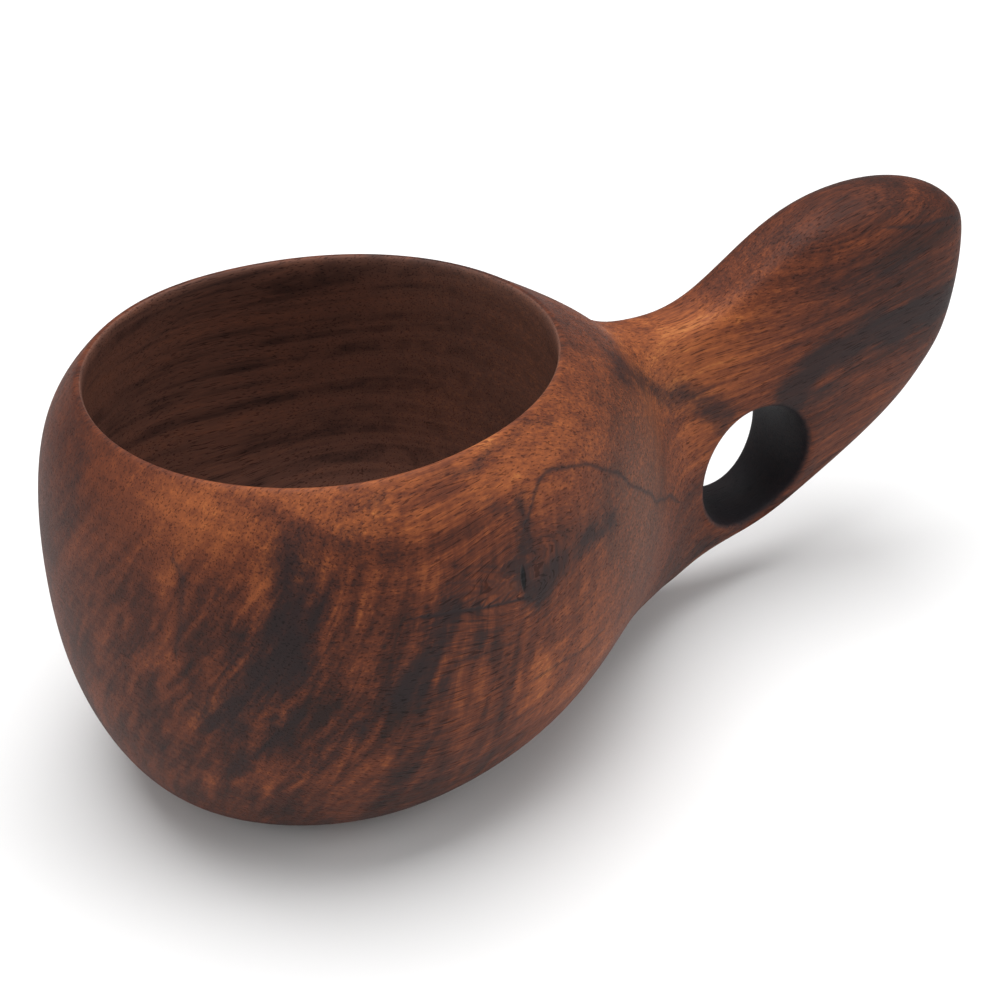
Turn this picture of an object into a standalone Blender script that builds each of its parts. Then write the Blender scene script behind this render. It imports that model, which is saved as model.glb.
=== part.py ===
"""Kuksa: a drinking cup carved from one piece of walnut, with a finger hole in its handle.

The whole cup is one solid. A control cage of quads describes it, and a subdivision surface
rounds the cage into the carved shape. Twelve columns run up the outside of the bowl, over the
rim and down the inside. The handle grows out of the bowl's front as a row of twelve-point
sections, and a round hole runs through it from side to side.

The bowl's axis is the Z axis, the handle points along +X, and the foot rests on Z = 0.
Everything is in metres.
"""

import math
from typing import NamedTuple

import bmesh
import bpy
import numpy as np

# Bowl. A reach holds three distances from the bowl's axis: to its back, to its sides and to
# its front, where the handle is.
RIM_HEIGHT = 0.0688
RIM_REACH = (0.0336, 0.0342, 0.0395)
LIP = 0.0013  # half the thickness of the rounded rim
BELLY_HEIGHT = 0.039
BELLY_REACH = (0.042, 0.0437, 0.055)
FOOT_REACH = (0.027, 0.020, 0.025)
SHOULDER_POWER = 3.5  # superellipse power of the wall above the belly
HULL_POWER = 2.7  # and below it
FLAT_FOOT = (0.70, 0.95)  # the two flat rings under the foot, as shares of its reach
FIRST_ROW = 0.035  # height of the row just above the foot, as a share of the rim height
WALL_ROWS = np.linspace(0.14, 0.89, 5)  # heights of the outer rows, as the same share
HOLLOW_REACH = (0.0365, 0.0385, 0.0415)  # of the hollow at the belly
HOLLOW_FOOT_REACH = (0.021, 0.020, 0.022)  # and where its wall meets the floor
HOLLOW_ROWS = (0.80, 0.52, 0.27)  # heights of the rows inside the bowl
FLOOR_HEIGHT = 0.008
FLOOR_RING = 0.7  # the ring on the floor, as a share of the hollow's foot

# Cage.
COLUMNS = 12
BLOCK_ROWS = (3, 7)  # the handle leaves the bowl between these two outer rows
SMOOTHING_LEVELS = 2


class Section(NamedTuple):
    """A section across the handle: its centre, its slope in degrees and its half sizes."""

    x: float
    z: float
    slope: float
    depth: float
    top: float  # half the width near the top
    bottom: float  # and near the bottom
    power: float  # superellipse power, rounder when smaller


# Handle, from the neck to the tail.
HANDLE = (
    Section(0.0585, 0.0320, 12, 0.0266, 0.0125, 0.0130, 2.5),
    Section(0.0655, 0.0322, 13, 0.0242, 0.0098, 0.0094, 2.8),
    Section(0.0780, 0.0334, 16, 0.0227, 0.0090, 0.0082, 3.4),
    Section(0.0930, 0.0406, 23, 0.0242, 0.0097, 0.0080, 3.2),
    Section(0.1045, 0.0472, 25, 0.0241, 0.0106, 0.0080, 3.0),
    Section(0.1145, 0.0503, 12, 0.0199, 0.0104, 0.0080, 3.0),
    Section(0.1217, 0.0511, 1, 0.0156, 0.0096, 0.0076, 2.8),
    Section(0.1250, 0.0516, -5, 0.0112, 0.0070, 0.0056, 2.6),
)
TAIL_BULGE = 0.0008

# Finger hole. It is centred on the middle one of three sections.
HOLE_SECTIONS = (1, 2, 3)
HOLE_RADIUS = 0.01125
HOLE_DROP = 0.0070  # of the hole's centre below the section's centre
HOLE_MARGIN = 0.0032  # from the hole to the cage line around it
FRAME_END = 0.72  # half height of that frame at its ends, as a share of its middle
FRAME_LIMIT = 0.84  # the most it takes of a section's depth
FRAME_EDGE = 0.90  # the least height of the next cage line, as the same share
HOLE_EDGE = ((0.0015, 0.0), (0.0004, 0.0004), (0.0, 0.0018))  # beyond its radius, and inward

# Finish.
WALNUT = (0.105, 0.036, 0.014, 1.0)
WALNUT_ROUGHNESS = 0.42


def smoothing_inverse(count):
    """Undoes the pull of a smoothed closed ring towards its middle."""
    eye = np.eye(count)
    pull = (4 * eye + np.roll(eye, 1, axis=0) + np.roll(eye, -1, axis=0)) / 6
    return np.linalg.inv(pull)


def power_arc(t, power):
    """Height of a superellipse of half size 1, at a share t of its half width."""
    return (1 - min(abs(t), 1.0) ** power) ** (1 / power)


def wall_reach(z, edge_height, widest, edge, power):
    """Reach of a wall at height z. It is widest at the belly and narrows to its edge."""
    full_height = abs(edge_height - BELLY_HEIGHT) / power_arc(edge / widest, power)
    return widest * power_arc((z - BELLY_HEIGHT) / full_height, power)


def outer_reach(z):
    """The bowl's outside at height z, to the back, the sides and the front."""
    reach = []
    for rim, belly, foot in zip(RIM_REACH, BELLY_REACH, FOOT_REACH):
        if z > BELLY_HEIGHT:
            reach.append(wall_reach(z, RIM_HEIGHT, belly, rim + LIP, SHOULDER_POWER))
        else:
            reach.append(wall_reach(z, 0.0, belly, foot, HULL_POWER))
    return np.array(reach)


def inner_reach(z):
    """The hollow at height z."""
    reach = []
    for rim, belly, foot in zip(RIM_REACH, HOLLOW_REACH, HOLLOW_FOOT_REACH):
        if z > BELLY_HEIGHT:
            reach.append(wall_reach(z, RIM_HEIGHT, belly, rim - LIP, SHOULDER_POWER))
        else:
            reach.append(wall_reach(z, FLOOR_HEIGHT, belly, foot, HULL_POWER))
    return np.array(reach)


def bowl_row(reach, z):
    """One level ring of the bowl, an oval with a longer front than back."""
    back, side, front = reach
    angle = 2 * math.pi * np.arange(COLUMNS) / COLUMNS
    along, across = np.cos(angle), np.sin(angle)
    x = np.where(along < 0, back, front) * along
    return np.column_stack((x, side * across, np.full(COLUMNS, z)))


def bowl_rows():
    """Every ring of the bowl, from under the foot over the rim to the floor of the hollow."""
    rim = np.array(RIM_REACH)
    rows = [bowl_row(share * np.array(FOOT_REACH), 0.0) for share in FLAT_FOOT]
    for share in (FIRST_ROW, *WALL_ROWS):
        rows.append(bowl_row(outer_reach(share * RIM_HEIGHT), share * RIM_HEIGHT))
    rows.append(bowl_row(rim + LIP, RIM_HEIGHT - LIP))
    rows.append(bowl_row(rim, RIM_HEIGHT))
    rows.append(bowl_row(rim - LIP, RIM_HEIGHT - LIP))
    for share in HOLLOW_ROWS:
        rows.append(bowl_row(inner_reach(share * RIM_HEIGHT), share * RIM_HEIGHT))
    rows.append(bowl_row(FLOOR_RING * np.array(HOLLOW_FOOT_REACH), FLOOR_HEIGHT))
    return rows


def section_frame(section):
    """Centre of a section, its forward direction and its upward direction."""
    slope = math.radians(section.slope)
    centre = np.array((section.x, 0.0, section.z))
    forward = np.array((math.cos(slope), 0.0, math.sin(slope)))
    upward = np.array((-math.sin(slope), 0.0, math.cos(slope)))
    return centre, forward, upward


def half_width(section, t):
    """Half the handle's width at height t above a section's centre."""
    middle = (section.top + section.bottom) / 2
    taper = (section.top - section.bottom) / 2 * t / section.depth
    return (middle + taper) * power_arc(t / section.depth, section.power)


def even_heights(section):
    """Heights of a section's points from top to bottom, spaced evenly round its outline."""
    sine = np.sin(np.linspace(math.pi / 2, -math.pi / 2, COLUMNS // 2 + 1))
    return section.depth * np.sign(sine) * np.abs(sine) ** (2 / section.power)


def hole_heights(section, reach):
    """The same heights where the hole passes, so that one cage face frames it."""
    depth = section.depth
    upper = min(reach - HOLE_DROP, FRAME_LIMIT * depth)
    lower = max(-reach - HOLE_DROP, -FRAME_LIMIT * depth)
    above = max(FRAME_EDGE * depth, (depth + upper) / 2)
    below = min(-FRAME_EDGE * depth, (lower - depth) / 2)
    return np.array((depth, above, upper, (upper + lower) / 2, lower, below, -depth))


def section_ring(section, heights):
    """Twelve points round a section: down its +Y side and back up its -Y side."""
    centre, _, upward = section_frame(section)
    down = [(t, half_width(section, t)) for t in heights]
    back_up = [(t, -width) for t, width in down[-2:0:-1]]
    return np.array([centre + t * upward + (0, width, 0) for t, width in down + back_up])


def handle_rings():
    """The sections of the handle as rings of points."""
    first, middle, last = HOLE_SECTIONS
    full = HOLE_RADIUS + HOLE_MARGIN
    reaches = {first: FRAME_END * full, middle: full, last: FRAME_END * full}
    rings = []
    for index, section in enumerate(HANDLE):
        if index in reaches:
            heights = hole_heights(section, reaches[index])
        else:
            heights = even_heights(section)
        rings.append(section_ring(section, heights))
    return rings


def between_sections(forward_distance):
    """The handle's section at a distance along it from the middle of the hole."""
    around = [HANDLE[index] for index in HOLE_SECTIONS]
    centre, forward, _ = section_frame(around[1])
    places = [(np.array((s.x, 0.0, s.z)) - centre) @ forward for s in around]
    return Section(*[np.interp(forward_distance, places, sizes) for sizes in zip(*around)])


def hole_ring(beyond, inward, side):
    """Eight points round the hole, on one side of the handle."""
    centre, forward, upward = section_frame(HANDLE[HOLE_SECTIONS[1]])
    points = []
    for degrees in (135, 90, 45, 0, -45, -90, -135, 180):
        angle = math.radians(degrees)
        along = (HOLE_RADIUS + beyond) * math.cos(angle)
        up = (HOLE_RADIUS + beyond) * math.sin(angle) - HOLE_DROP
        width = half_width(between_sections(along), up) - inward
        points.append(centre + along * forward + up * upward + (0, side * width, 0))
    return np.array(points)


class Cage:
    """The points and the quads of the control cage."""

    def __init__(self):
        self.points = []
        self.quads = []

    def add(self, points):
        first = len(self.points)
        self.points.extend(points)
        return list(range(first, len(self.points)))

    def add_ring(self, points):
        """Adds a ring that the smoothed surface passes through."""
        return self.add(smoothing_inverse(len(points)) @ points)

    def bridge(self, ring, next_ring, skip=()):
        """Joins two rings with quads, leaving out those that start at a skipped index."""
        count = len(ring)
        for i in range(count):
            if i not in skip:
                j = (i + 1) % count
                self.quads.append((ring[i], ring[j], next_ring[j], next_ring[i]))

    def fill_grid(self, grid):
        """Fills a grid of points with quads."""
        for row, next_row in zip(grid, grid[1:]):
            for i in range(len(row) - 1):
                self.quads.append((row[i], row[i + 1], next_row[i + 1], next_row[i]))

    def cap_bowl(self, ring, height):
        """Closes a twelve-point ring with a level grid of three by three quads."""
        corner = np.array([self.points[i] for i in ring])
        inside = {}
        for u in (1, 2):
            for v in (1, 2):
                across = corner[12 - v] + (corner[3 + v] - corner[12 - v]) * u / 3
                along = corner[u] + (corner[9 - u] - corner[u]) * v / 3
                x, y, _ = (across + along) / 2
                inside[u, v] = self.add([np.array((x, y, height))])[0]
        grid = [ring[0:4]]
        for v in (1, 2):
            grid.append([ring[12 - v], inside[1, v], inside[2, v], ring[3 + v]])
        grid.append([ring[9], ring[8], ring[7], ring[6]])
        self.fill_grid(grid)

    def cap_tail(self, ring):
        """Closes the handle's last ring with a slightly bulging grid."""
        _, forward, _ = section_frame(HANDLE[-1])
        middles = []
        for i in (2, 3, 4):
            middle = (self.points[ring[i]] + self.points[ring[12 - i]]) / 2
            middles.append(middle + TAIL_BULGE * forward)
        middle_ids = self.add(middles)
        grid = [[ring[11], ring[0], ring[1]]]
        for i, middle in zip((2, 3, 4), middle_ids):
            grid.append([ring[12 - i], middle, ring[i]])
        grid.append([ring[7], ring[6], ring[5]])
        self.fill_grid(grid)


def add_bowl(cage):
    """Adds the bowl, open at the front, and returns the ring where the handle joins it."""
    rows = [cage.add_ring(row) for row in bowl_rows()]
    bottom, top = BLOCK_ROWS
    for index, (row, next_row) in enumerate(zip(rows, rows[1:])):
        cage.bridge(row, next_row, skip=(COLUMNS - 1, 0) if bottom <= index < top else ())
    cage.cap_bowl(rows[0], 0.0)
    cage.cap_bowl(rows[-1], FLOOR_HEIGHT)
    left = [row[1] for row in rows[top : bottom - 1 : -1]]
    right = [row[-1] for row in rows[bottom : top + 1]]
    return [rows[top][0], *left, rows[bottom][0], *right]


def add_handle(cage, root):
    """Adds the handle from the bowl's root ring to its tail, open where the hole passes."""
    rings = [root] + [cage.add_ring(ring) for ring in handle_rings()]
    _, middle, last = (index + 1 for index in HOLE_SECTIONS)
    for index, (ring, next_ring) in enumerate(zip(rings, rings[1:])):
        passes_hole = index + 1 in (middle, last)
        cage.bridge(ring, next_ring, skip=(2, 3, 8, 9) if passes_hole else ())
    cage.cap_tail(rings[-1])
    return [rings[index + 1] for index in HOLE_SECTIONS]


def add_hole(cage, rings):
    """Runs the finger hole through the handle, from the frame on one side to the other."""
    before, middle, after = rings
    inner_rings = []
    for side, (high, level, low) in ((1, (2, 3, 4)), (-1, (10, 9, 8))):
        top_edge = [before[high], middle[high], after[high]]
        bottom_edge = [after[low], middle[low], before[low]]
        ring = [*top_edge, after[level], *bottom_edge, before[level]]
        for beyond, inward in HOLE_EDGE:
            next_ring = cage.add_ring(hole_ring(beyond, inward, side))
            cage.bridge(ring, next_ring)
            ring = next_ring
        inner_rings.append(ring)
    cage.bridge(*inner_rings)


def build_cage():
    cage = Cage()
    root = add_bowl(cage)
    hole_frame = add_handle(cage, root)
    add_hole(cage, hole_frame)
    return cage


def mesh_from_cage(name, cage):
    """Makes the mesh, without the cage points that no quad uses, and with its faces outward."""
    mesh = bpy.data.meshes.new(name)
    mesh.from_pydata([tuple(point) for point in cage.points], [], cage.quads)
    shape = bmesh.new()
    shape.from_mesh(mesh)
    loose = [vertex for vertex in shape.verts if not vertex.link_faces]
    bmesh.ops.delete(shape, geom=loose, context="VERTS")
    bmesh.ops.recalc_face_normals(shape, faces=shape.faces)
    shape.to_mesh(mesh)
    shape.free()
    return mesh


def walnut_material():
    material = bpy.data.materials.new("walnut")
    material.diffuse_color = WALNUT
    material.use_nodes = True
    shader = material.node_tree.nodes["Principled BSDF"]
    shader.inputs["Base Color"].default_value = WALNUT
    shader.inputs["Roughness"].default_value = WALNUT_ROUGHNESS
    shader.inputs["Metallic"].default_value = 0.0
    return material


def add_cup_body():
    """The cup: bowl, neck, handle and finger hole in one piece of wood."""
    mesh = mesh_from_cage("cup_body", build_cage())
    mesh.materials.append(walnut_material())
    cup = bpy.data.objects.new("cup_body", mesh)
    bpy.context.scene.collection.objects.link(cup)
    smoothing = cup.modifiers.new("carved_surface", "SUBSURF")
    smoothing.levels = SMOOTHING_LEVELS
    smoothing.render_levels = SMOOTHING_LEVELS
    return cup


def clear_scene():
    for old in list(bpy.data.objects):
        bpy.data.objects.remove(old, do_unlink=True)


clear_scene()
add_cup_body()
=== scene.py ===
"""The kuksa's looks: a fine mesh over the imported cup, walnut made of nodes, and a plain studio.

Lengths are metres, and the wood's own coordinates are millimetres.
"""

import math
from typing import NamedTuple

import bmesh
import bpy
import numpy as np
from mathutils import Matrix, Vector


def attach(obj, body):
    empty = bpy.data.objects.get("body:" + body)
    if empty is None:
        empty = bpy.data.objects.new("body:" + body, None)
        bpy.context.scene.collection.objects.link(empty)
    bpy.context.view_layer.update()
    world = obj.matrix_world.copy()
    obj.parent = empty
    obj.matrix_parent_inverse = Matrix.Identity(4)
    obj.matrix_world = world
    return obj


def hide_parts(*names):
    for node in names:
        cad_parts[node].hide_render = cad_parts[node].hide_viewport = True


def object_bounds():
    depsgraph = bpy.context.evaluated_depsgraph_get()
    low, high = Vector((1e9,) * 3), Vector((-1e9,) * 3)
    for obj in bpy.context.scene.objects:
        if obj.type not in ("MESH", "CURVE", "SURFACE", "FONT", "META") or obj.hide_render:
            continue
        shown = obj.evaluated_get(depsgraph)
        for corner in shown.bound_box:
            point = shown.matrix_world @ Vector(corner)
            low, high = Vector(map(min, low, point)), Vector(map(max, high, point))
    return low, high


MM = 1000.0  # millimetres in a metre

# Fine mesh.
WELD = 2e-6
JOIN_ANGLE = math.radians(60)
FINE_LEVELS = 2

# The cup, in millimetres. Its bowl's axis is the Z axis.
HOLE = (79.9, 26.7)  # x and z of the finger hole's axis
HOLE_RADIUS = 11.25
HOLE_EDGE = 1.2  # how far the hole's rounded edge reaches past its wall
HOLE_FADE = 0.9
BELLY_RADIUS = 43.0
BOWL_REACH = 44.0  # every point of the hollow is nearer the bowl's axis than this
FLOOR_REACH = 30.0  # the hollow's floor is below this
LIP_TURN = 0.4  # how far the lip turns inward before it counts as the hollow
LIP_FADE = 0.3
NECK_START = 24.0
NECK_EASE = 4.0

# The trunk that the cup was carved from. Its pith runs along X below the cup, and the grain
# rises with the handle.
PITH = (10.0, -60.0)  # y and z of the pith
RISE_START = 62.0
RISE_SLOPE = 0.15
RISE_EASE = 9.0
KNOT = (11.0, -42.0, 50.0)
KNOT_REACH = 9.0
KNOT_LIFT = 5.0  # how far the grain parts around the knot
KNOT_EASE = 2.0
SLIT_SIZE = (0.42, 1.9)  # half width and half height of the slit in the knot
SLIT_EDGE = (0.5, 1.6)
SLIT_DEPTH = (-35.0, -30.0)  # the slit fades out between these values of y


class Wander(NamedTuple):
    """A smooth random offset: its seed, its wavelength and its size."""

    seed: int
    wavelength: float
    size: float


WANDER_WAVES = 7
WAVE_SPREAD = (0.6, 1.6)
GRAIN_WANDER = Wander(11, 40.0, 1.2)
SMOKE_WANDER = Wander(3, 9.0, 0.9)
LINE_WANDER = Wander(5, 9.0, 0.25)


class Mark(NamedTuple):
    """A dark mark in the wood: the points it runs through, its half width and its strength."""

    points: tuple
    width: float
    strength: float


MARKS = {
    "over the left shoulder": Mark(((-36, 0, 65), (-40, -1, 59)), 3.6, 0.55),
    "down the middle": Mark(((-21, -35, 59), (-24, -35, 44), (-32, -28, 35)), 5.2, 0.85),
    "low on the left": Mark(((-23, -36, 36), (-30, -28, 24)), 2.2, 0.65),
    "beside it": Mark(((-16, -40, 34), (-22, -35, 25)), 2.2, 0.5),
    "above the middle": Mark(((-12, -36, 64), (-20, -35, 50)), 3.0, 0.45),
    "left of the middle": Mark(((-28, -26, 56), (-36, -18, 40)), 3.0, 0.40),
    "near the foot": Mark(((-4, -40, 30), (-12, -36, 18)), 3.0, 0.45),
    "under the rim": Mark(((-8, -36, 66), (-9, -40, 57)), 2.0, 0.5),
    "right of the middle": Mark(((-2, -43, 50), (-9, -43, 38)), 3.2, 0.85),
    "its short companion": Mark(((3, -43, 43), (-3, -43, 37)), 2.2, 0.6),
    "column above the knot": Mark(((13, -39, 60), (12, -41, 56), (11, -42, 50)), 1.9, 0.95),
    "around the slit": Mark(((11, -42, 52), (11, -42, 47)), 2.0, 1.1),
    "cap over the knot": Mark(((8, -39, 62), (12, -40, 60)), 1.6, 0.5),
    "branch right of the knot": Mark(((13, -42, 46), (21, -40, 50), (31, -36, 49)), 2.5, 0.95),
    "along the rim": Mark(((2, -36, 67), (14, -34, 67), (24, -30, 66)), 1.1, 0.5),
    "across the saddle": Mark(
        ((44, -17, 62), (52, -12, 55), (59, -9, 49), (68, -9, 43), (73, -9, 39)), 3.0, 0.72
    ),
    "along the handle": Mark(
        ((87, -9, 38), (90, -9, 43), (103, -9, 46), (120, -8, 47)), 4.0, 1.15
    ),
    "over the hole": Mark(((89, -9, 36), (97, -9, 37)), 2.6, 0.7),
    "high on the handle": Mark(((98, -8, 56), (112, -8, 57)), 3.0, 0.45),
    "on the handle's top": Mark(((85, 2, 63), (89, -2, 66)), 3.5, 0.45),
    "middle of the handle": Mark(((94, -9, 56), (101, -9, 56)), 3.0, 0.4),
    "under the neck": Mark(((59, -13, 16), (71, -8, 14)), 2.6, 0.6),
}


class Line(NamedTuple):
    """A thin dark line on the near side: its points in x and z, and its strength."""

    points: tuple
    strength: float


LINES = {
    "arc from the knot to the hole": Line(
        ((13, 58), (16, 61), (20, 62), (27, 59.5), (34, 54), (40, 48), (50, 38), (60, 30)), 0.75
    ),
    "down the left": Line(((-33, 58), (-35, 45)), 0.6),
    "low on the right": Line(((13, 31), (28, 30)), 0.5),
    "near the handle's tip": Line(((105, 65), (122, 62)), 0.7),
    "foot of the fan by the knot": Line(((-6, 50.4), (0, 49.2), (5, 48.4), (12, 46.3)), 0.95),
    "low rib of the fan": Line(((-1, 51.8), (5, 50.4), (10, 48.4)), 0.5),
    "middle rib of the fan": Line(((-1, 53.8), (5, 52.0), (10, 49.4)), 0.5),
    "high rib of the fan": Line(((0, 56.2), (6, 53.8), (10, 50.6)), 0.45),
}
LINE_REACH = 2.5  # a line's strength fades out over this distance
LINE_WIDTH = 0.35
LINE_LIMIT = 9.0
FAR_AWAY = 1e3
CURVE_STEPS = 6


class Patch(NamedTuple):
    """A soft round patch: its centre, its reach and its amount."""

    centre: tuple
    reach: float
    amount: float


# Lighter patches. Painted light: the saddle and its crest, the golden start of the handle, the neck
# and its middle, the four patches along the rim's shoulder and the patch low on the right are
# lighter where the lamps from above and from the right fall on them. The others are lighter wood.
LIGHTER_AND_PAINTED_LIGHT = {
    "saddle": Patch((62, -5, 54), 13.0, 0.34),
    "saddle's crest": Patch((52, -4, 58), 8.0, 0.15),
    "golden start of the handle": Patch((76, -7, 52), 11.0, 0.26),
    "left of the hole": Patch((66, -10, 36), 9.0, 0.14),
    "under the hole": Patch((60, -10, 30), 14.0, 0.06),
    "neck": Patch((40, -24, 50), 18.0, 0.10),
    "middle of the neck": Patch((46, -20, 46), 11.0, 0.06),
    "rim on the left": Patch((-28, -20, 69), 16.0, 0.26),
    "rim in the middle": Patch((-10, -34, 69), 14.0, 0.22),
    "rim on the right": Patch((12, -34, 69), 14.0, 0.26),
    "rim by the neck": Patch((28, -26, 67), 11.0, 0.18),
    "fan by the knot": Patch((3, -42, 48), 6.0, 0.12),
    "low on the right": Patch((26, -37, 30), 16.0, 0.30),
    "under the knot": Patch((2, -43, 35), 10.0, 0.12),
}
# Darker patches, partly darker wood and partly painted shade: the near side is painted darker where
# it faces away from the light from above, and the handle and its top are painted darker to dim what
# the lamps light there.
DARKER_AND_PAINTED_SHADE = {
    "right of the arc": Patch((36, -30, 57), 9.0, 0.12),
    "middle": Patch((-12, -40, 48), 14.0, 0.08),
    "left": Patch((-30, -28, 40), 12.0, 0.06),
    "near the foot": Patch((-12, -38, 14), 20.0, 0.06),
    "handle": Patch((104, 0, 62), 12.0, 0.04),
    "handle's top": Patch((110, 0, 66), 14.0, 0.08),
}
# Greyer patches: the flank of the neck is duller wood, and the saddle's edge is a painted sheen
# where light glances off the rounded top edge of the neck.
GREYER_AND_PAINTED_SHEEN = {
    "flank of the neck": Patch((42, -28, 46), 18.0, 0.40),
    "saddle's edge": Patch((58, -14, 56), 8.0, 0.25),
}

# Curly figure. Its bands stand nearly upright on the right and lean over on the left.
CURL_PATCH = Patch((-20.0, -34.0, 38.0), 42.0, 1.0)
CURL_TOP = 59.0
CURL_TOP_EASE = 2.0
CURL_ON_SHOULDER = 0.3  # the share of the figure that is left above its top
CURL_LEAN = 0.15
CURL_EXTRA_LEAN = 0.5
CURL_LEAN_START = -10.0
CURL_LEAN_EASE = 6.0
CURL_LEVEL = 40.0
CURL_LENGTH = 3.4  # from one ripple to the next
CURL_BEND = 9.0
CURL_STREAK_LOSS = 0.7  # how far curly wood loses its straight streaks

RING_LENGTH = 2.1  # from one growth ring to the next
RING_DRIFT = 6.0
SWIRL_LENGTH = 1.25  # from one line around the knot to the next
SWIRL_DRIFT = 1.3


class Noise(NamedTuple):
    """A noise, by how often it changes along each axis in a millimetre, and its roughness."""

    scale: tuple
    detail: float = 2.0
    roughness: float = 0.5
    distortion: float = 0.0


LAYERS = Noise((0.012, 0.02, 0.42), 3.0, 0.62)
STREAKS = Noise((0.032, 0.32, 0.32), 4.0, 0.60, 0.3)
CLOUDS = Noise((0.04, 0.07, 0.07))
FIBRES = Noise((0.12, 2.6, 2.6), 3.0, 0.7)
MOTTLE = Noise((0.9, 1.3, 1.3), 3.0, 0.6)
PORES = Noise((0.32, 4.4, 4.4), 1.0)
STIPPLE = Noise((1.9, 1.0, 2.1), 3.0, 0.75)
BAND_WAVES = Noise((0.42, 0.085, 0.0), 3.0, 0.6, 0.4)
BROAD_BANDS = Noise((0.13, 0.045, 0.0))
BAND_BEND = Noise((0.06, 0.05, 0.0), 1.0)
BAND_GAPS = Noise((0.15, 0.10, 0.0))
PORE_EDGE = (0.57, 0.67)

# How much each of these moves the wood's tone, which runs from 0 (dark) to 1 (light).
MIDDLE_TONE = 0.32
LAYER_TONE = 0.70
STREAK_TONE = 0.72
CLOUD_TONE = 0.45
FIBRE_TONE = 0.70
MOTTLE_TONE = 0.30
STIPPLE_TONE = 2.2
RING_TONE = 0.03
SWIRL_TONE = 0.09
# Painted light: the hollow's tone is lifted, standing in for fill light inside the bowl.
HOLLOW_PAINTED_LIGHT_TONE = 0.14
BAND_WAVE_TONE = 1.35
BROAD_BAND_TONE = 1.4
RIPPLE_TONE = 0.085

HEARTWOOD = (
    (0.00, (0.022, 0.0090, 0.0068)),
    (0.25, (0.060, 0.0160, 0.0085)),
    (0.50, (0.140, 0.0350, 0.0135)),
    (0.75, (0.290, 0.0790, 0.0230)),
    (1.00, (0.470, 0.1650, 0.0450)),
)
SMOKE_COLOUR = (0.020, 0.0115, 0.0120, 1.0)
# Painted shade: the slit is a crack in the knot that the mesh doesn't cut, and its dark inside is
# painted; the bump only sinks it a little.
SLIT_SHADE_COLOUR = (0.006, 0.005, 0.006, 1.0)
GREYER_AND_SHEEN_COLOUR = (0.150, 0.072, 0.042, 1.0)
# Painted shade: the finger hole's wall is painted nearly black.
BORE_SHADE_COLOUR = (0.010, 0.0095, 0.0125, 1.0)
# Painted light: the hollow is painted lighter and greyer, standing in for fill light and sheen on
# its walls and floor.
HOLLOW_PAINTED_LIGHT_COLOUR = (0.215, 0.112, 0.084, 1.0)
PORE_COLOUR = (0.34, 0.30, 0.32, 1.0)
HOLLOW_PAINTED_LIGHT_SHARE = 0.62
BORE_SHADE_SHARE = 0.95
PORE_SHARE = 0.75
ROUGHNESS = 0.60
SPECULAR = 0.20
RELIEF_STRENGTH = 0.6
RELIEF_HEIGHT = 0.00007

# Studio, in metres.
CAMERA_AIM = (-0.0087, 0.0, -0.0023)  # from the middle of the CAD box
CAMERA_AZIMUTH = math.radians(-31.9)
CAMERA_ELEVATION = math.radians(33.1)
CAMERA_ROLL = math.radians(-0.9)
CAMERA_DISTANCE = 0.3689
CAMERA_LENS = 81.3  # millimetres
SENSOR_WIDTH = 36.0  # millimetres
FLOOR_GAP = 0.0001
FLOOR_HALF_SIDE = 4.0
FLOOR_FADE = (0.35, 0.9)  # the floor is whole nearer than the first, and gone beyond the second
FLOOR_COLOUR = (0.86, 0.86, 0.86, 1.0)
FLOOR_ROUGHNESS = 0.8
WORLD_COLOUR = (1.0, 1.0, 1.0, 1.0)
WORLD_LIGHT = 0.30
WORLD_SEEN = 0.95


class Softbox(NamedTuple):
    """A square light that faces the cup: its place, its side and its power in watts."""

    place: tuple
    side: float
    power: float


SOFTBOXES = {
    "top": Softbox((0.05, 0.10, 0.95), 0.9, 11.5),
    "left": Softbox((-0.90, 0.10, 0.35), 0.6, 2.0),
    "right": Softbox((0.75, -0.55, 0.45), 0.6, 2.4),
    "front": Softbox((-0.30, -0.65, 0.80), 0.6, 0.9),
}


def smooth_quads(cad):
    """A mesh of fine quads that follows the CAD surface."""
    shape = bmesh.new()
    shape.from_mesh(cad.data)
    bmesh.ops.remove_doubles(shape, verts=shape.verts, dist=WELD)
    bmesh.ops.join_triangles(
        shape,
        faces=shape.faces,
        angle_face_threshold=JOIN_ANGLE,
        angle_shape_threshold=JOIN_ANGLE,
    )
    coarse = bpy.data.meshes.new("kuksa_coarse")
    shape.to_mesh(coarse)
    shape.free()
    helper = bpy.data.objects.new("kuksa_coarse", coarse)
    bpy.context.scene.collection.objects.link(helper)
    smoothing = helper.modifiers.new("fine_surface", "SUBSURF")
    smoothing.levels = FINE_LEVELS
    smoothing.render_levels = FINE_LEVELS
    graph = bpy.context.evaluated_depsgraph_get()
    fine = bpy.data.meshes.new_from_object(helper.evaluated_get(graph), depsgraph=graph)
    bpy.data.objects.remove(helper)
    bpy.data.meshes.remove(coarse)
    fine.name = "kuksa"
    fine.shade_smooth()
    return fine


def vertex_points(mesh):
    """The mesh's points in millimetres."""
    points = np.empty(len(mesh.vertices) * 3, np.float32)
    mesh.vertices.foreach_get("co", points)
    return points.reshape(-1, 3).astype(float) * MM


def vertex_normals(mesh):
    normals = np.empty(len(mesh.vertices) * 3, np.float32)
    mesh.vertices.foreach_get("normal", normals)
    return normals.reshape(-1, 3).astype(float)


def eased_step(values, start, ease):
    """Rises from 0 to 1 around the start."""
    return 1 / (1 + np.exp((start - values) / ease))


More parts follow.
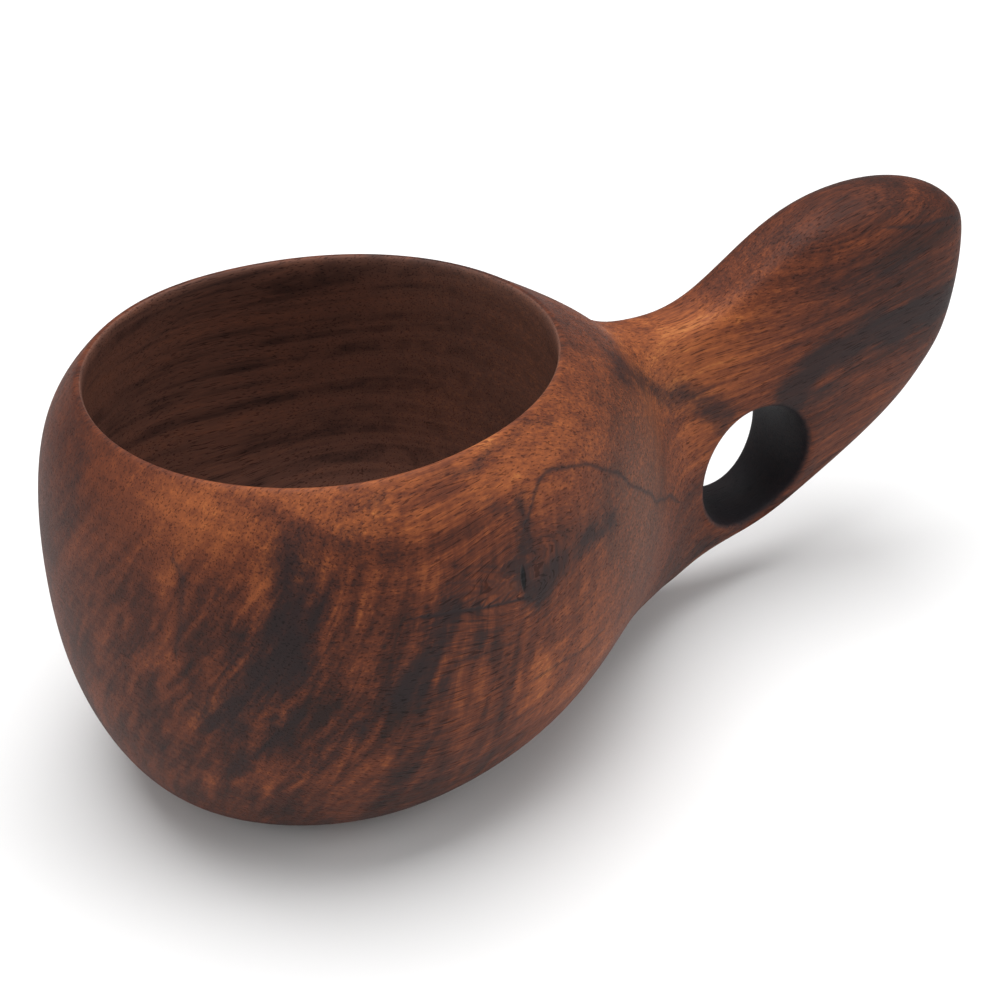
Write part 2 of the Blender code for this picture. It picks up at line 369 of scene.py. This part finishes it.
def wander_of(points, wander):
    """A smooth wandering offset for each point, as a sum of seeded waves."""
    random = np.random.default_rng(wander.seed)
    offset = np.zeros_like(points)
    for _ in range(WANDER_WAVES):
        direction = random.normal(size=3)
        direction /= np.linalg.norm(direction)
        length = wander.wavelength * random.uniform(*WAVE_SPREAD)
        phase = random.uniform(0, 2 * math.pi)
        push = random.normal(size=3)
        wave = np.sin(2 * math.pi * (points @ direction) / length + phase)
        offset += wave[:, None] * push
    return wander.size * offset / math.sqrt(WANDER_WAVES)


def from_segment(points, start, end):
    """The way to each point from the nearest point of a line segment."""
    along = end - start
    share = np.clip((points - start) @ along / (along @ along), 0, 1)
    return points - start - share[:, None] * along


def smoke_of(points):
    """How much of the dark marks each point holds."""
    strayed = points + wander_of(points, SMOKE_WANDER)
    smoke = np.zeros(len(points))
    for mark in MARKS.values():
        corners = np.array(mark.points, float)
        away = np.full(len(points), np.inf)
        for start, end in zip(corners, corners[1:]):
            away = np.minimum(away, np.linalg.norm(from_segment(strayed, start, end), axis=1))
        smoke = np.maximum(smoke, mark.strength * np.exp(-((away / mark.width) ** 2)))
    return smoke


def side_of(points, start, end):
    """Signed distance from each x, z point to a line segment: left of its way is positive."""
    way = end - start
    away = from_segment(points, start, end)
    turn = way[0] * away[:, 1] - way[1] * away[:, 0]
    return np.where(turn < 0, -1.0, 1.0) * np.linalg.norm(away, axis=1)


def curve_through(points):
    """A smooth chain of points through the given ones."""
    corners = np.array([points[0], *points, points[-1]], float)
    chain = [corners[1]]
    for before, start, end, after in zip(corners, corners[1:], corners[2:], corners[3:]):
        for step in range(1, CURVE_STEPS + 1):
            t = step / CURVE_STEPS
            bend = (end - before) * t + (2 * before - 5 * start + 4 * end - after) * t**2
            bend += (3 * start - before - 3 * end + after) * t**3
            chain.append(start + bend / 2)
    return chain


def lines_of(points):
    """The signed distance to the nearest thin line, and how strong that line is here."""
    strayed = (points + wander_of(points, LINE_WANDER))[:, [0, 2]]
    nearest = np.full(len(points), FAR_AWAY)
    strength = np.zeros(len(points))
    for line in LINES.values():
        chain = curve_through(line.points)
        for start, end in zip(chain, chain[1:]):
            side = side_of(strayed, start, end)
            closer = np.abs(side) < np.abs(nearest)
            nearest[closer] = side[closer]
            strength[closer] = line.strength
    strength *= np.exp(-((nearest / LINE_REACH) ** 2)) * (points[:, 1] < 0)
    return np.clip(nearest, -LINE_LIMIT, LINE_LIMIT), strength


def figure_of(points):
    """Across and along the curly bands, which lean over more on the bowl's left."""
    x, y, z = points.T
    around = BELLY_RADIUS * np.arctan2(x, -y)
    extra = eased_step(-around, -CURL_LEAN_START, CURL_LEAN_EASE)
    lean = CURL_LEAN + CURL_EXTRA_LEAN * extra
    return np.column_stack((around - lean * (z - CURL_LEVEL), z + lean * around, y))


def inside_of(points, normals):
    """One on the walls and floor of the hollow, none elsewhere."""
    away = np.hypot(points[:, 0], points[:, 1])
    outward = points[:, :2] / np.maximum(away, 1.0)[:, None]
    facing_in = -(normals[:, 0] * outward[:, 0] + normals[:, 1] * outward[:, 1])
    facing_in = np.maximum(facing_in, normals[:, 2] * (points[:, 2] < FLOOR_REACH))
    return np.clip((facing_in - LIP_TURN) / LIP_FADE, 0, 1) * (away < BOWL_REACH)


def bore_shade_of(points):
    """Where shade is painted: one on the wall of the finger hole, none elsewhere."""
    away = np.hypot(points[:, 0] - HOLE[0], points[:, 2] - HOLE[1])
    return np.clip((HOLE_RADIUS + HOLE_EDGE - away) / HOLE_FADE, 0, 1)


def patch_of(points, patch):
    away = np.linalg.norm(points - np.array(patch.centre, float), axis=1)
    return patch.amount * np.exp(-((away / patch.reach) ** 2))


def patches_of(points, patches):
    return sum(patch_of(points, patch) for patch in patches.values())


def curl_of(points):
    """How curly the wood is."""
    above = eased_step(points[:, 2], CURL_TOP, CURL_TOP_EASE)
    return patch_of(points, CURL_PATCH) * (1 - (1 - CURL_ON_SHOULDER) * above)


def grain_of(points):
    """Each point in the trunk: along the grain, across it, and out from the pith."""
    x, y, z = points.T
    rise = RISE_SLOPE * RISE_EASE * np.logaddexp(0, (x - RISE_START) / RISE_EASE)
    above_knot = z - KNOT[2]
    lift = patch_of(points, Patch(KNOT, KNOT_REACH, KNOT_LIFT)) * np.sign(above_knot)
    lift *= 1 - np.exp(-((above_knot / KNOT_EASE) ** 2))
    out = np.hypot(y - PITH[0], z - rise - lift - PITH[1])
    return np.column_stack((x, y, out)) + wander_of(points, GRAIN_WANDER)


def store(mesh, name, values):
    """Puts a number or a vector on each of the mesh's points, for the material."""
    kind = "FLOAT_VECTOR" if values.ndim == 2 else "FLOAT"
    field = "vector" if values.ndim == 2 else "value"
    attribute = mesh.attributes.new(name, kind, "POINT")
    attribute.data.foreach_set(field, values.astype(np.float32).ravel())


class Graph:
    """Adds shader nodes by short calls. An input is a number, a colour or another node's output."""

    def __init__(self, tree):
        self.tree = tree

    def node(self, kind, inputs=(), **settings):
        node = self.tree.nodes.new(kind)
        for name, value in settings.items():
            setattr(node, name, value)
        for key, value in dict(inputs).items():
            if isinstance(value, bpy.types.NodeSocket):
                self.tree.links.new(value, node.inputs[key])
            else:
                node.inputs[key].default_value = value
        return node

    def attribute(self, name, output="Fac"):
        return self.node("ShaderNodeAttribute", attribute_name=name).outputs[output]

    def math(self, operation, *values):
        return self.node("ShaderNodeMath", enumerate(values), operation=operation).outputs[0]

    def add(self, *values):
        total = values[0]
        for value in values[1:]:
            total = self.math("ADD", total, value)
        return total

    def times(self, *values):
        total = values[0]
        for value in values[1:]:
            total = self.math("MULTIPLY", total, value)
        return total

    def swing(self, value, amount, middle=0.5):
        """Moves the value's middle to none and scales what is left."""
        return self.times(self.add(value, -middle), amount)

    def split(self, vector):
        return self.node("ShaderNodeSeparateXYZ", {0: vector}).outputs

    def noise(self, vector, noise):
        sizes = {0: vector, 1: noise.scale}
        stretched = self.node("ShaderNodeVectorMath", sizes, operation="MULTIPLY")
        inputs = {
            "Vector": stretched.outputs[0],
            "Scale": 1.0,
            "Detail": noise.detail,
            "Roughness": noise.roughness,
            "Distortion": noise.distortion,
        }
        return self.node("ShaderNodeTexNoise", inputs).outputs["Fac"]

    def waves(self, value, length):
        return self.math("SINE", self.times(value, 2 * math.pi / length))

    def between(self, value, low, high, to_low=0.0, to_high=1.0):
        """Maps low..high to to_low..to_high with soft ends."""
        inputs = {0: value, 1: low, 2: high, 3: to_low, 4: to_high}
        settings = {"interpolation_type": "SMOOTHSTEP"}
        return self.node("ShaderNodeMapRange", inputs, **settings).outputs[0]

    def ramp(self, value, stops):
        """Maps the value to a colour between the stops."""
        node = self.node("ShaderNodeValToRGB", {"Fac": value})
        elements = node.color_ramp.elements
        while len(elements) < len(stops):
            elements.new(1.0)
        for element, (position, colour) in zip(elements, stops):
            element.position = position
            element.color = (*colour, 1.0)
        return node.outputs["Color"]

    def mix(self, share, a, b, blend="MIX"):
        """Lays the colour b over the colour a."""
        node = self.node("ShaderNodeMix", data_type="RGBA", blend_type=blend)
        for key, value in (("Factor", share), ("A", a), ("B", b)):
            sockets = [s for s in node.inputs if s.name == key and s.enabled]
            if isinstance(value, bpy.types.NodeSocket):
                self.tree.links.new(value, sockets[0])
            else:
                sockets[0].default_value = value
        return [s for s in node.outputs if s.enabled][0]


class Wood:
    """Builds the walnut from noises that run along the grain, each made once."""

    def __init__(self, tree):
        graph = Graph(tree)
        self.graph = graph
        self.place = graph.attribute("place", "Vector")
        self.figure = graph.attribute("figure", "Vector")
        self.curl = graph.attribute("curl")
        self.inside = graph.attribute("inside")
        self.side_grain = graph.attribute("side_grain")
        grain = graph.attribute("grain", "Vector")
        self.layers = graph.noise(grain, LAYERS)
        self.streaks = graph.noise(grain, STREAKS)
        self.clouds = graph.noise(grain, CLOUDS)
        self.fibres = graph.noise(grain, FIBRES)
        self.mottle = graph.noise(grain, MOTTLE)
        self.pores = graph.between(graph.noise(grain, PORES), *PORE_EDGE)
        straight = graph.add(1.0, graph.times(self.curl, -CURL_STREAK_LOSS))
        self.plain = graph.times(straight, self.side_grain)
        self.bands = self.curly_bands()
        out = graph.split(grain)["Z"]
        self.rings = self.growth_rings(out)
        self.swirl = self.knot_swirl(out)
        self.line = self.thin_lines()
        self.slit = self.knot_slit()

    def curly_bands(self):
        """Light and dark bands across the grain, with a fine ripple that comes and goes."""
        graph = self.graph
        bend = graph.times(graph.noise(self.figure, BAND_BEND), CURL_BEND)
        ripple = graph.waves(graph.add(graph.split(self.figure)["X"], bend), CURL_LENGTH)
        ripple = graph.times(ripple, graph.between(graph.noise(self.figure, BAND_GAPS), 0.40, 0.62))
        bands = graph.add(
            graph.swing(graph.noise(self.figure, BAND_WAVES), BAND_WAVE_TONE),
            graph.swing(graph.noise(self.figure, BROAD_BANDS), BROAD_BAND_TONE, 0.52),
            graph.times(ripple, RIPPLE_TONE),
        )
        return graph.times(bands, self.curl)

    def growth_rings(self, out):
        graph = self.graph
        rings = graph.waves(graph.add(out, graph.times(self.clouds, RING_DRIFT)), RING_LENGTH)
        return graph.times(rings, graph.between(self.layers, 0.40, 0.62, 0.25, 1.0))

    def knot_swirl(self, out):
        """Fine lines that follow the grain around the knot."""
        graph = self.graph
        swirl = graph.waves(graph.add(out, graph.times(self.mottle, SWIRL_DRIFT)), SWIRL_LENGTH)
        return graph.times(swirl, graph.attribute("knot"))

    def thin_lines(self):
        graph = self.graph
        away = graph.add(graph.attribute("line"), graph.swing(self.mottle, LINE_WIDTH))
        away = graph.math("DIVIDE", away, LINE_WIDTH)
        line = graph.math("EXPONENT", graph.times(away, away, -1.0))
        return graph.times(line, graph.attribute("line_strength"))

    def knot_slit(self):
        """A narrow upright oval in the knot, on the near side only, where the shade inside a crack
        is painted dark.
        """
        graph = self.graph
        place = graph.split(self.place)
        x = graph.times(graph.add(place["X"], -KNOT[0]), 1 / SLIT_SIZE[0])
        z = graph.times(graph.add(place["Z"], -KNOT[2]), 1 / SLIT_SIZE[1])
        slit = graph.between(graph.add(graph.times(x, x), graph.times(z, z)), *SLIT_EDGE, 1.0, 0.0)
        return graph.times(slit, graph.between(place["Y"], *SLIT_DEPTH, 1.0, 0.0))

    def tone(self):
        graph = self.graph
        stipple = graph.swing(graph.noise(self.place, STIPPLE), STIPPLE_TONE)
        return graph.add(
            MIDDLE_TONE,
            graph.times(stipple, graph.attribute("stippled")),
            # Lighter and darker patches, partly painted light and painted shade.
            graph.attribute("tone"),
            graph.times(graph.swing(self.layers, LAYER_TONE), self.plain),
            graph.times(graph.swing(self.streaks, STREAK_TONE), self.plain),
            graph.swing(self.clouds, CLOUD_TONE),
            graph.times(graph.swing(self.fibres, FIBRE_TONE), self.side_grain),
            graph.swing(self.mottle, MOTTLE_TONE),
            graph.times(self.rings, RING_TONE),
            graph.times(self.inside, HOLLOW_PAINTED_LIGHT_TONE),
            graph.times(self.swirl, SWIRL_TONE),
            self.bands,
        )

    def veins(self):
        """Dark layers in the hollow, broken up along the grain."""
        graph = self.graph
        dark = graph.between(self.layers, 0.58, 0.40, 0.0, 0.60)
        broken = graph.between(self.streaks, 0.62, 0.36, 0.2, 1.0)
        clear = graph.add(0.3, graph.times(self.side_grain, 0.7))
        veins = graph.add(graph.times(dark, broken, clear), 0.06, graph.times(self.rings, 0.05))
        return graph.times(self.inside, veins)

    def smoke(self):
        """The dark marks, with edges frayed by the figure."""
        graph = self.graph
        wisps = graph.add(
            graph.swing(self.streaks, self.plain),
            graph.times(self.bands, 0.9),
            graph.swing(self.fibres, 0.5),
            graph.swing(self.mottle, 0.5),
        )
        frayed = graph.add(graph.attribute("smoke"), graph.times(wisps, -0.75))
        return graph.between(frayed, 0.05, 0.95, 0.0, 0.9)

    def colour(self):
        graph = self.graph
        uneven = graph.between(self.mottle, 0.3, 0.7, 1.2, 0.5)
        greyer_and_sheen = graph.times(graph.attribute("greyer_and_sheen"), uneven)
        colour = graph.ramp(self.tone(), HEARTWOOD)
        # Painted light in the hollow: a lighter, greyer colour stands in for fill light and sheen.
        colour = graph.mix(graph.times(self.inside, HOLLOW_PAINTED_LIGHT_SHARE), colour, HOLLOW_PAINTED_LIGHT_COLOUR)
        colour = graph.mix(self.veins(), colour, SMOKE_COLOUR)
        # Painted sheen on the saddle's edge, and duller wood on the flank of the neck.
        colour = graph.mix(greyer_and_sheen, colour, GREYER_AND_SHEEN_COLOUR)
        colour = graph.mix(self.smoke(), colour, SMOKE_COLOUR)
        colour = graph.mix(self.line, colour, SMOKE_COLOUR)
        # Painted shade inside the knot's crack.
        colour = graph.mix(self.slit, colour, SLIT_SHADE_COLOUR)
        colour = graph.mix(graph.times(self.pores, PORE_SHARE), colour, PORE_COLOUR, "MULTIPLY")
        # Painted shade: the wall of the finger hole goes nearly black.
        return graph.mix(graph.times(graph.attribute("bore_shade"), BORE_SHADE_SHARE), colour, BORE_SHADE_COLOUR)

    def roughness(self):
        graph = self.graph
        return graph.add(ROUGHNESS, graph.swing(self.fibres, 0.25), graph.times(self.pores, 0.12))

    def relief(self):
        """Fibres stand up, and pores, thin lines and the slit sink in."""
        graph = self.graph
        height = graph.add(
            self.fibres,
            graph.times(self.mottle, 0.6),
            graph.times(self.pores, -0.9),
            graph.times(self.swirl, 0.5),
            graph.times(self.line, -1.5),
            graph.times(self.slit, -5.0),
        )
        inputs = {"Height": height, "Strength": RELIEF_STRENGTH, "Distance": RELIEF_HEIGHT}
        return graph.node("ShaderNodeBump", inputs).outputs[0]


def walnut():
    """Oiled walnut: growth layers, streaks, curl, smoky marks, pores and fibres."""
    material = bpy.data.materials.new("walnut")
    material.use_nodes = True
    tree = material.node_tree
    shader = tree.nodes["Principled BSDF"]
    wood = Wood(tree)
    tree.links.new(wood.colour(), shader.inputs["Base Color"])
    tree.links.new(wood.roughness(), shader.inputs["Roughness"])
    tree.links.new(wood.relief(), shader.inputs["Normal"])
    shader.inputs["Specular IOR Level"].default_value = SPECULAR
    return material


def store_wood(mesh):
    """Puts the wood's coordinates and marks on the mesh's points."""
    points = vertex_points(mesh)
    normals = vertex_normals(mesh)
    inside = inside_of(points, normals)
    outside = 1 - inside
    end_grain = normals[:, 0] ** 2
    on_neck = eased_step(points[:, 0], NECK_START, NECK_EASE)
    greyer_and_sheen = patches_of(points, GREYER_AND_PAINTED_SHEEN)
    line, line_strength = lines_of(points)
    store(mesh, "place", points)
    store(mesh, "grain", grain_of(points))
    store(mesh, "figure", figure_of(points))
    store(mesh, "curl", curl_of(points) * outside)
    store(mesh, "inside", inside)
    store(mesh, "bore_shade", bore_shade_of(points))
    store(mesh, "knot", patch_of(points, Patch(KNOT, KNOT_REACH, 1.0)))
    store(mesh, "line", line)
    store(mesh, "line_strength", line_strength * outside)
    store(mesh, "smoke", smoke_of(points) * outside)
    # Painted light and painted shade mixed with lighter and darker wood: the patches above, added
    # to the wood's tone.
    store(mesh, "tone", patches_of(points, LIGHTER_AND_PAINTED_LIGHT) - patches_of(points, DARKER_AND_PAINTED_SHADE))
    store(mesh, "greyer_and_sheen", greyer_and_sheen)
    store(mesh, "side_grain", 1 - end_grain)
    store(mesh, "stippled", end_grain * on_neck + greyer_and_sheen)


def add_cup(cad):
    """The cup as one fine mesh of walnut."""
    mesh = smooth_quads(cad)
    store_wood(mesh)
    mesh.materials.clear()
    mesh.materials.append(walnut())
    cup = bpy.data.objects.new("kuksa", mesh)
    bpy.context.scene.collection.objects.link(cup)
    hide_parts("cup_body")
    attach(cup, "root")


def floor_material():
    """Pale and matt, and clear far from the cup, so that the floor has no visible end."""
    material = bpy.data.materials.new("floor")
    material.use_nodes = True
    nodes = material.node_tree.nodes
    graph = Graph(material.node_tree)
    pale = nodes["Principled BSDF"]
    pale.inputs["Base Color"].default_value = FLOOR_COLOUR
    pale.inputs["Roughness"].default_value = FLOOR_ROUGHNESS
    place = graph.node("ShaderNodeNewGeometry").outputs["Position"]
    away = graph.node("ShaderNodeVectorMath", {0: place}, operation="LENGTH").outputs["Value"]
    gone = graph.between(away, *FLOOR_FADE)
    clear = graph.node("ShaderNodeBsdfTransparent").outputs[0]
    mixed = graph.node("ShaderNodeMixShader", {0: gone, 1: pale.outputs[0], 2: clear})
    material.node_tree.links.new(mixed.outputs[0], nodes["Material Output"].inputs["Surface"])
    return material


def add_floor(height):
    """A wide pale floor just under the foot."""
    shape = bmesh.new()
    bmesh.ops.create_grid(shape, x_segments=1, y_segments=1, size=FLOOR_HALF_SIDE)
    mesh = bpy.data.meshes.new("floor")
    shape.to_mesh(mesh)
    shape.free()
    mesh.materials.append(floor_material())
    floor = bpy.data.objects.new("floor", mesh)
    floor.location.z = height
    bpy.context.scene.collection.objects.link(floor)


def add_softbox(name, softbox, aim):
    light = bpy.data.lights.new(name, "AREA")
    light.shape = "SQUARE"
    light.size = softbox.side
    light.energy = softbox.power
    box = bpy.data.objects.new(name, light)
    box.location = softbox.place
    box.rotation_mode = "QUATERNION"
    box.rotation_quaternion = (aim - box.location).to_track_quat("-Z", "Y")
    bpy.context.scene.collection.objects.link(box)


def add_world():
    """White surroundings, which light the cup more weakly than the camera sees them."""
    world = bpy.data.worlds.new("studio")
    world.use_nodes = True
    graph = Graph(world.node_tree)
    background = world.node_tree.nodes["Background"]
    seen = graph.node("ShaderNodeLightPath").outputs["Is Camera Ray"]
    strength = graph.between(seen, 0.0, 1.0, WORLD_LIGHT, WORLD_SEEN)
    world.node_tree.links.new(strength, background.inputs["Strength"])
    background.inputs["Color"].default_value = WORLD_COLOUR
    bpy.context.scene.world = world


def add_camera(centre):
    """Looks down over the near side of the cup, with the handle to the right."""
    level = math.cos(CAMERA_ELEVATION)
    sideways, forward = math.sin(CAMERA_AZIMUTH), math.cos(CAMERA_AZIMUTH)
    back = Vector((sideways * level, -forward * level, math.sin(CAMERA_ELEVATION)))
    right = Vector((forward, sideways, 0.0))
    right = Matrix.Rotation(CAMERA_ROLL, 3, back) @ right
    turn = Matrix((right, back.cross(right), back)).transposed()
    data = bpy.data.cameras.new("camera")
    data.sensor_width = SENSOR_WIDTH
    data.lens = CAMERA_LENS
    camera = bpy.data.objects.new("camera", data)
    place = centre + Vector(CAMERA_AIM) + CAMERA_DISTANCE * back
    camera.matrix_world = Matrix.Translation(place) @ turn.to_4x4()
    bpy.context.scene.collection.objects.link(camera)
    bpy.context.scene.camera = camera


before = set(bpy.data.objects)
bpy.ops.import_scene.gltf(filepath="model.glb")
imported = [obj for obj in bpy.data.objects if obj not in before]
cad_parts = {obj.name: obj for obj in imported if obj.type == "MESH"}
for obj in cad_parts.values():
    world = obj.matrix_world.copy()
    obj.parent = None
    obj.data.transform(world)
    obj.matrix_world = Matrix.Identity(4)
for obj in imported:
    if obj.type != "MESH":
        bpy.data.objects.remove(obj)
cad_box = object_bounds()
centre = (cad_box[0] + cad_box[1]) / 2
add_cup(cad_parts["cup_body"])
add_floor(cad_box[0].z - FLOOR_GAP)
add_world()
for name, softbox in SOFTBOXES.items():
    add_softbox(name, softbox, centre)
add_camera(centre)
bpy.context.scene.view_settings.view_transform = "Standard"
